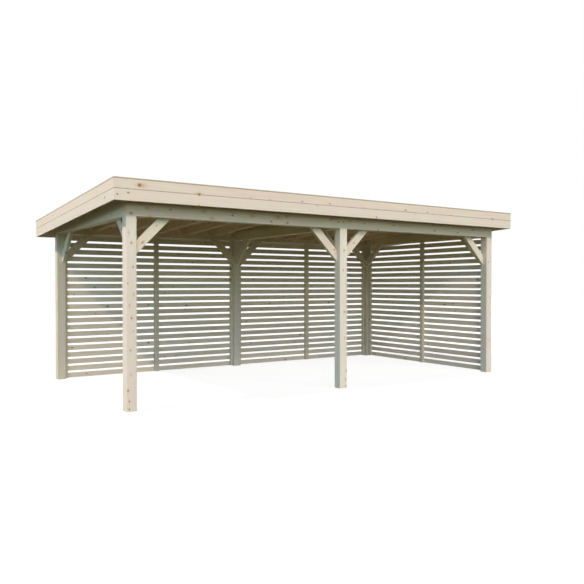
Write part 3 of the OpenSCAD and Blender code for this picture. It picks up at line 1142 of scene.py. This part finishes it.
def grid_faces(rows: int, columns: int, wrap: bool) -> np.ndarray:
    """Lists the faces of a grid of points.

    Point (i, j) has the number i times columns plus j. Each face joins two rows and two columns; with wrap,
    the last column joins the first.

    Args:
        rows: how many rows of points.
        columns: how many columns of points.
        wrap: whether the columns close into a ring.

    Returns:
        One row a face, with its four corners in order.
    """
    row = np.arange(rows - 1)[:, None] * columns
    here = np.arange(columns if wrap else columns - 1)[None, :]
    there, after = (here + 1) % columns, row + columns
    return np.stack((row + here, row + there, after + there, after + here), axis=-1).reshape(-1, 4)


@dataclass
class FeltRoof:
    """The lapped sheets of mineral felt that cover the deck, laid from the low edge upwards.

    The lean is how far a lap's lower edge leans over, the ripple fades out over the rim, and frame_thick is
    the thickness of the felt in the frame.
    """

    roll: float = 1.0
    lap: float = 0.08
    thick: float = 3.5 * MM
    ease: float = 0.05
    lean: float = 0.01 * MM
    ripple: float = 0.5 * MM
    rim: float = 0.1
    columns: int = 160
    frame_thick: float = 4.0 * MM

    def profile(self, back: float, front: float) -> tuple[np.ndarray, np.ndarray]:
        """Works out a section of the sheets across the laps.

        The felt is one sheet thick. From each lap's lower edge, where it drops to the sheet below, it is two
        sheets thick over the lap's width, and then eases down to one over a short run.

        Args:
            back: the low edge of the roof.
            front: its high edge.

        Returns:
            The places from the back to the front, and the height over the deck at each.
        """
        step = self.roll - self.lap
        edges = np.arange(back - step, front, -step)
        offsets = np.array((self.lean, 0.0, -self.lap, -self.lap - self.ease / 2.0, -self.lap - self.ease))
        heights = np.array((1.0, 2.0, 2.0, 1.5, 1.0)) * self.thick
        places = np.concatenate(([back], (edges[:, None] + offsets).ravel(), [front]))
        levels = np.concatenate(([self.thick], np.tile(heights, len(edges)), [self.thick]))
        inside = (places >= front) & (places <= back)
        return places[inside], levels[inside]

    def build(self) -> bpy.types.Object:
        """Builds the felt as one closed sheet.

        The top is a grid: x runs along the eaves, y follows the laps' section, and z is the deck's falling
        plane plus the section's height plus a ripple, a product of two long sines. The underside is the same
        grid on the deck, and the four sides join them.

        Returns:
            The felt's object.
        """
        low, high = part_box("roof_felt")
        places, levels = self.profile(high.y, low.y)
        fall = (high.z - self.frame_thick - low.z) / (high.y - low.y)
        x = np.linspace(low.x, high.x, self.columns)
        along, across = np.meshgrid(x, places)
        deck = low.z + fall * (high.y - across)
        wave = np.sin(7.3 * along + 2.0 * np.sin(1.9 * across)) * np.sin(5.1 * across + 1.3 * along)
        edges = (along - low.x, high.x - along, across - low.y, high.y - across)
        ripple = self.ripple * wave * np.clip(np.minimum.reduce(edges) / self.rim, 0.0, 1.0)
        top = np.stack((along, across, deck + levels[:, None] + ripple), axis=-1).reshape(-1, 3)
        under = np.stack((along, across, deck), axis=-1).reshape(-1, 3)
        rows, columns = len(places), self.columns
        sheet = grid_faces(rows, columns, wrap=False)
        count = rows * columns
        index = np.arange(count).reshape(rows, columns)
        ring = np.concatenate((index[0, :-1], index[:-1, -1], index[-1, :0:-1], index[:0:-1, 0]))
        after = np.roll(ring, -1)
        sides = np.stack((ring, after, after + count, ring + count), axis=-1)
        faces = np.concatenate((sheet[:, ::-1], sheet + count, sides))
        felt = new_piece("roof_felt_sheets", np.concatenate((top, under)), faces)
        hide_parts("roof_felt")
        return felt


@dataclass
class Screws:
    """The countersunk screws that hold each slat to the battens behind it, two at each crossing.

    The radii and heights are those of a head's profile in millimetres, from the recess to inside the board.
    """

    spacing: float = 34.0 * MM
    sides: int = 10
    radii: tuple[float, ...] = (1.2, 1.5, 3.5, 4.0, 4.0)
    heights: tuple[float, ...] = (0.05, 0.35, 0.4, 0.2, -1.0)

    def heads(
        self, centres: np.ndarray, right: np.ndarray, out: np.ndarray
    ) -> tuple[np.ndarray, np.ndarray]:
        """Works out the heads as surfaces of revolution.

        Each head is a profile of radius and height turned about the axis out of the board: the point at step
        i and angle a is the centre plus radius i times (right cos a plus up sin a) plus height i times out.
        The first ring shrinks to a point in the recess and the last to one inside the board.

        Args:
            centres: one row a screw.
            right: the direction to the right in the board's face.
            out: the direction out of the face.

        Returns:
            The points, and the faces with four corners each.
        """
        turns = np.arange(self.sides) * 2.0 * math.pi / self.sides
        circle = np.cos(turns)[:, None] * right + np.sin(turns)[:, None] * np.array(UNITS[2])
        radii = np.array((0.0, *self.radii, 0.0)) * MM
        heights = np.array((self.heights[0], *self.heights, self.heights[-1])) * MM
        one = radii[:, None, None] * circle[None] + heights[:, None, None] * out
        points = centres[:, None, None, :] + one[None]
        faces = grid_faces(len(radii), self.sides, wrap=True)
        shift = np.arange(len(centres)) * one.shape[0] * self.sides
        return points.reshape(-1, 3), (faces[None] + shift[:, None, None]).reshape(-1, 4)

    def build(self, wall: str) -> bpy.types.Object:
        """Builds the screws of one screen, on its outer face.

        Args:
            wall: the screen's name in the frame, such as back_left.

        Returns:
            The screws' object.
        """
        low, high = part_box(wall + "_slats")
        sideways = wall.startswith("right")
        axis = 1 if sideways else 0
        slats = board_spans(wall + "_slats", 2).mean(axis=1)
        battens = board_spans(wall + "_battens", axis).mean(axis=1)
        rows = (slats[:, None] + np.array((-0.5, 0.5)) * self.spacing).ravel()
        along, upward = (part.ravel() for part in np.meshgrid(battens, rows))
        if sideways:
            centres = np.stack((np.full_like(along, high.x), along, upward), axis=1)
            right, out = np.array(UNITS[1]), np.array(UNITS[0])
        else:
            centres = np.stack((along, np.full_like(along, high.y), upward), axis=1)
            right, out = -np.array(UNITS[0]), np.array(UNITS[1])
        points, faces = self.heads(centres, right, out)
        made = new_piece(wall + "_screws", points, faces[:, ::-1])
        merge_points(made)
        return made


def merge_points(piece: bpy.types.Object) -> None:
    """Joins the points of a piece that coincide, so that its poles are closed.

    Args:
        piece: the object whose mesh is mended.
    """
    work = bmesh.new()
    work.from_mesh(piece.data)
    bmesh.ops.remove_doubles(work, verts=work.verts, dist=SAME_POINT)
    bmesh.ops.recalc_face_normals(work, faces=work.faces)
    work.to_mesh(piece.data)
    work.free()


def main() -> None:
    """Builds and dresses the pavilion, one sub-assembly after another."""
    logging.basicConfig(level=logging.INFO, format="%(name)s: %(message)s")
    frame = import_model()
    bpy.context.scene.view_settings.view_transform = "Standard"
    Stage().build()
    LOG.info("stage set")
    LOG.info("timber nodes dressed: %d", Timber(frame["nodes"]).dress())
    felt = FeltRoof().build()
    wear(felt, MineralFelt().material("roof"))
    LOG.info("roof felt laid: %d faces", len(felt.data.polygons))
    zinc = ZincPlate().material("screws")
    for wall in ("back_left", "back_right", "right_side"):
        screws = Screws().build(wall)
        wear(screws, zinc)
        LOG.info("%s screws driven: %d faces", wall, len(screws.data.polygons))


if __name__ == "__main__":
    main()
